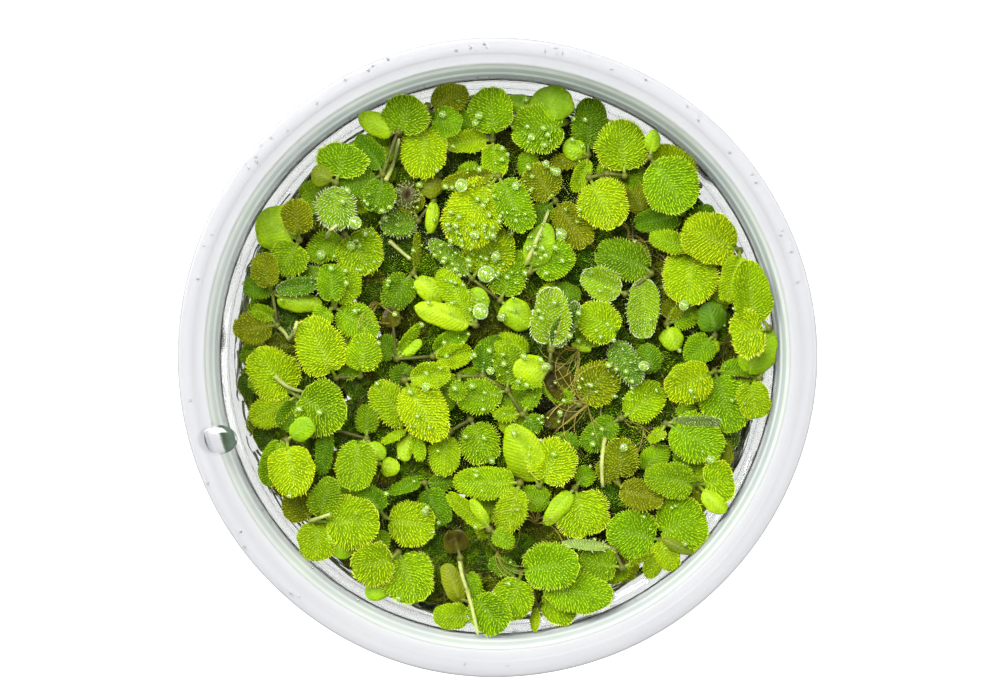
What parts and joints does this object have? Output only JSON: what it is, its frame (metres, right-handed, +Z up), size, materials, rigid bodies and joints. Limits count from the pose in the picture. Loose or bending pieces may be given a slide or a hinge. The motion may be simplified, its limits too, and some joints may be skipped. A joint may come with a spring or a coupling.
{
  "type": "potted floating fern colony",
  "caption": "Water spangles: small floating ferns with paired, hair-studded oval leaves and hanging brown roots, crowded over the water of a clear round tub.",
  "frame": {"origin": "middle of the foot ring's contact circle, on the surface that the tub stands on", "axes": "+Z up along the tub's axis; +Y is the top of the picture and +X its right"},
  "size_m": [0.115, 0.115, 0.048],
  "materials": {
    "clear_plastic": "clear, glossy",
    "water": "clear water",
    "fern_bright": "bright leaf, matt with fine hairs",
    "fern_dark": "dark leaf, matt with fine hairs",
    "fern_green": "green leaf, matt with fine hairs",
    "fern_lime": "lime leaf, matt with fine hairs",
    "fern_olive": "olive leaf, matt with fine hairs"
  },
  "bodies": {
    "root": {"cup": "clear_plastic", "water": "water", "fern_01": "fern_bright", "fern_02": "fern_dark", "fern_03": "fern_lime", "fern_04": "fern_olive", "fern_05": "fern_dark", "fern_06": "fern_bright", "fern_07": "fern_olive", "fern_08": "fern_lime", "fern_09": "fern_bright", "fern_10": "fern_bright", "fern_11": "fern_dark", "fern_12": "fern_lime", "fern_13": "fern_green", "fern_14": "fern_lime", "fern_15": "fern_lime", "fern_16": "fern_green", "fern_17": "fern_lime", "fern_18": "fern_green", "fern_19": "fern_lime", "fern_20": "fern_green", "fern_21": "fern_green", "fern_22": "fern_lime", "fern_23": "fern_bright", "fern_24": "fern_lime", "fern_25": "fern_green", "fern_26": "fern_lime", "fern_27": "fern_bright", "fern_28": "fern_lime", "fern_29": "fern_lime", "fern_30": "fern_olive", "fern_31": "fern_green", "fern_32": "fern_lime", "fern_33": "fern_green", "fern_34": "fern_green", "fern_35": "fern_lime", "fern_36": "fern_lime", "fern_37": "fern_green", "fern_38": "fern_bright", "fern_39": "fern_bright", "fern_40": "fern_green", "fern_41": "fern_bright", "fern_42": "fern_lime", "fern_43": "fern_lime", "fern_44": "fern_lime", "fern_45": "fern_green", "fern_46": "fern_lime", "fern_47": "fern_bright", "fern_48": "fern_lime", "fern_49": "fern_lime", "fern_50": "fern_green", "fern_51": "fern_olive", "fern_52": "fern_lime", "fern_53": "fern_green", "fern_54": "fern_lime", "fern_55": "fern_green", "fern_56": "fern_green", "fern_57": "fern_green"}
  },
  "joints": []
}
